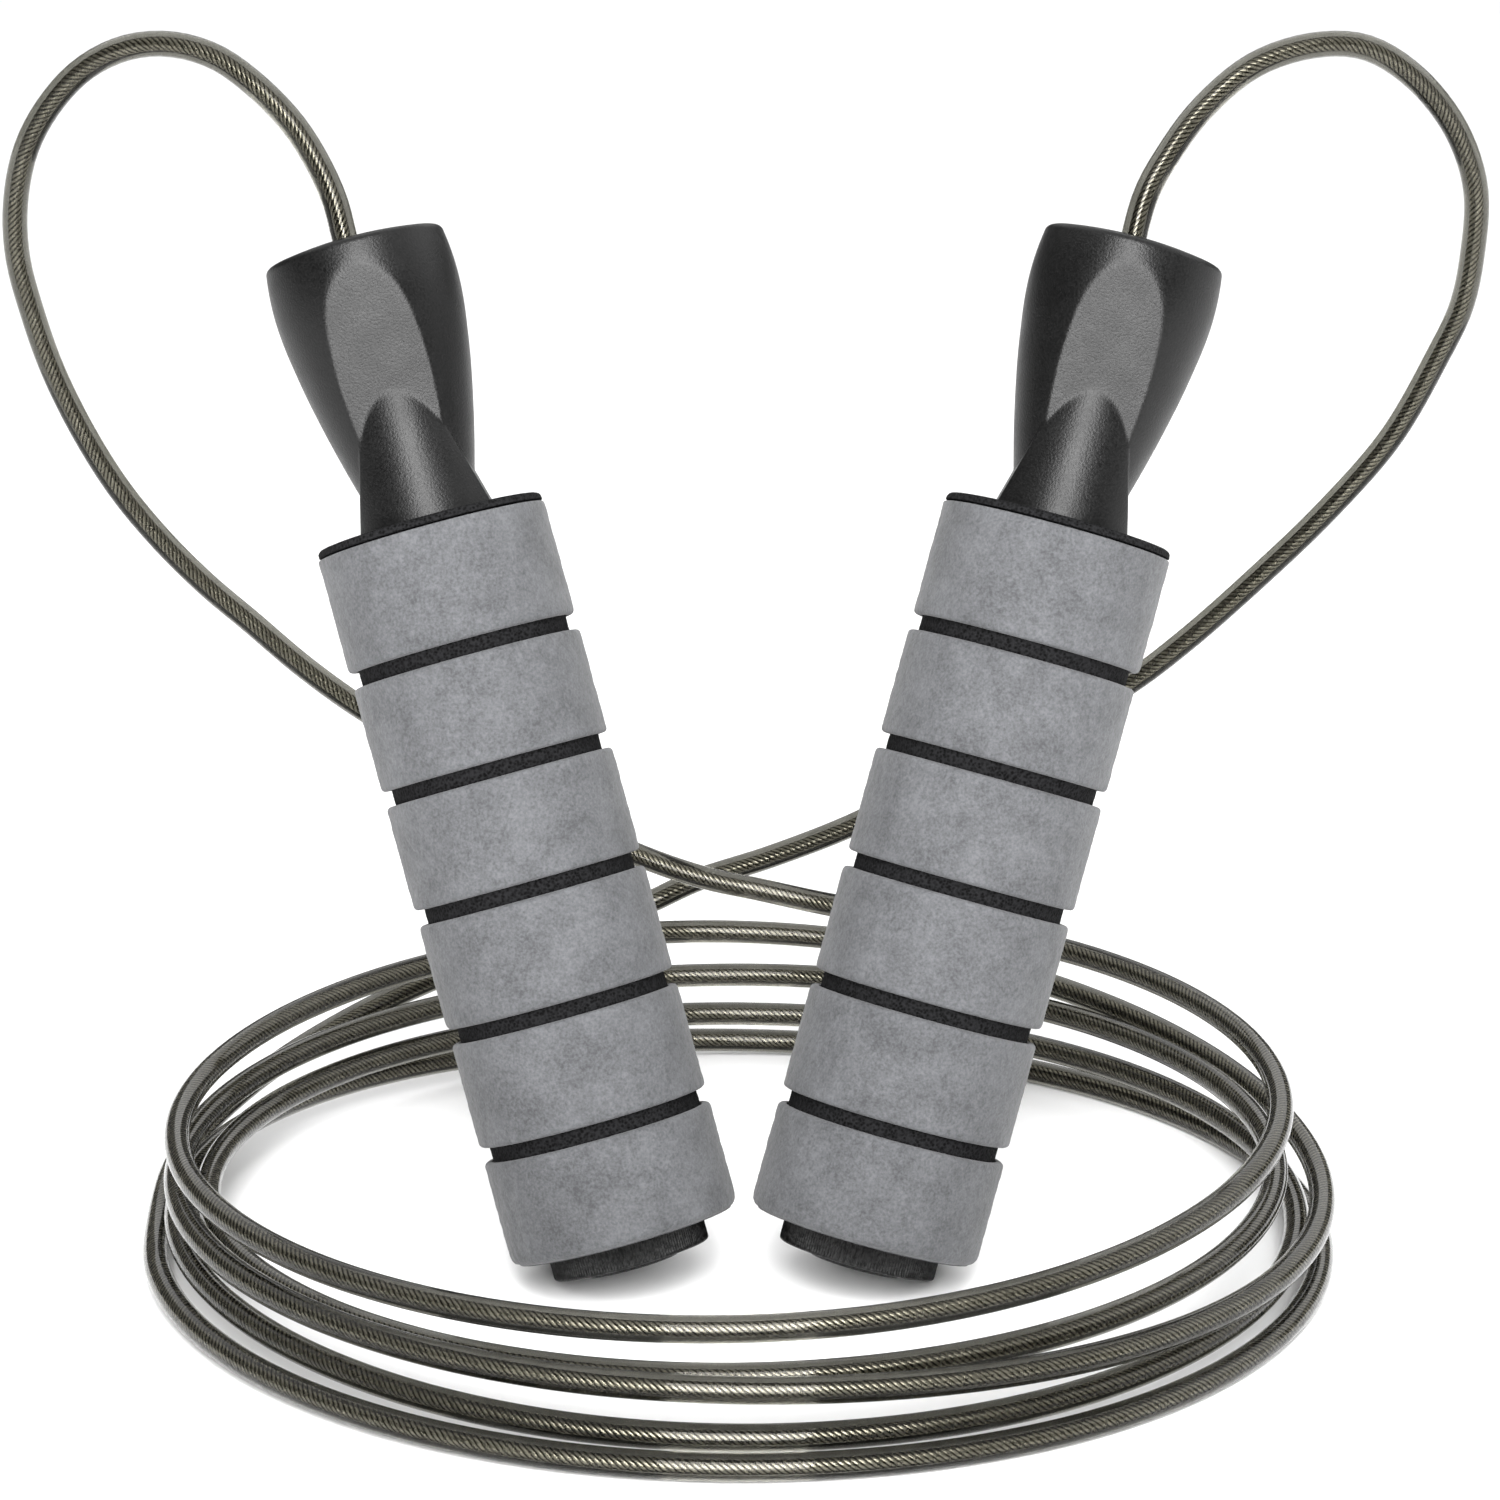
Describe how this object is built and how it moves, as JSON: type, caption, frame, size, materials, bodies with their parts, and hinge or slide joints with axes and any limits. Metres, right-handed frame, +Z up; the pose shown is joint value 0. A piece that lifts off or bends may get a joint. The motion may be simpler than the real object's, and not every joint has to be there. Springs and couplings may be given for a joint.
{
  "type": "jump rope",
  "caption": "Coiled coated-steel jump rope with foam-grip handles that spin on ball bearings and lean apart inside the coil.",
  "frame": {"origin": "on the ground, midway between the two standing handles, under the middle of their box", "axes": "+Z up, +X to the viewer's right from handle to handle, +Y away from the front, towards the crossing of the cord"},
  "size_m": [0.2365, 0.1904, 0.1845],
  "materials": {
    "head_plastic": "satin",
    "cap_plastic": "matte",
    "black_foam": "matte",
    "grey_foam": "matte",
    "bearing_steel": "polished",
    "spring_steel": "satin",
    "brass": "satin",
    "cord": "gloss"
  },
  "bodies": {
    "rope": {"cord_left_arc": "cord", "cord_right_arc": "cord", "cord_coil": "cord", "left_bearing_inner_ring": "bearing_steel", "left_spindle": "brass", "left_thrust_washer": "spring_steel", "left_cord_stop": "brass", "left_set_screw": "spring_steel", "right_bearing_inner_ring": "bearing_steel", "right_spindle": "brass", "right_thrust_washer": "spring_steel", "right_cord_stop": "brass", "right_set_screw": "spring_steel"},
    "left_handle": {"left_handle_shell": "head_plastic", "left_foam_sleeve": "black_foam", "left_foam_band_1": "grey_foam", "left_foam_band_2": "grey_foam", "left_foam_band_3": "grey_foam", "left_foam_band_4": "grey_foam", "left_foam_band_5": "grey_foam", "left_foam_band_6": "grey_foam", "left_end_cap": "cap_plastic", "left_bearing_outer_ring": "bearing_steel", "left_bearing_retainer": "spring_steel"},
    "left_cage": {"left_ball_cage": "bearing_steel"},
    "right_handle": {"right_handle_shell": "head_plastic", "right_foam_sleeve": "black_foam", "right_foam_band_1": "grey_foam", "right_foam_band_2": "grey_foam", "right_foam_band_3": "grey_foam", "right_foam_band_4": "grey_foam", "right_foam_band_5": "grey_foam", "right_foam_band_6": "grey_foam", "right_end_cap": "cap_plastic", "right_bearing_outer_ring": "bearing_steel", "right_bearing_retainer": "spring_steel"},
    "right_cage": {"right_ball_cage": "bearing_steel"}
  },
  "joints": [
    {"name": "left_spin", "type": "hinge", "parent": "rope", "child": "left_handle", "pos_m": [-0.0171, -0.01865, 0.00426], "axis": [-0.2656, 0.2495, 0.9312], "continuous": true},
    {"name": "left_cage_roll", "type": "hinge", "parent": "rope", "child": "left_cage", "pos_m": [-0.0171, -0.01865, 0.00426], "axis": [-0.2656, 0.2495, 0.9312], "continuous": true},
    {"name": "right_spin", "type": "hinge", "parent": "rope", "child": "right_handle", "pos_m": [0.0171, -0.01865, 0.00426], "axis": [0.2656, 0.2495, 0.9312], "continuous": true},
    {"name": "right_cage_roll", "type": "hinge", "parent": "rope", "child": "right_cage", "pos_m": [0.0171, -0.01865, 0.00426], "axis": [0.2656, 0.2495, 0.9312], "continuous": true}
  ],
  "couplings": [
    {"joint": "left_cage_roll", "follows": "left_spin", "ratio": 0.6048},
    {"joint": "right_cage_roll", "follows": "right_spin", "ratio": 0.6048}
  ]
}
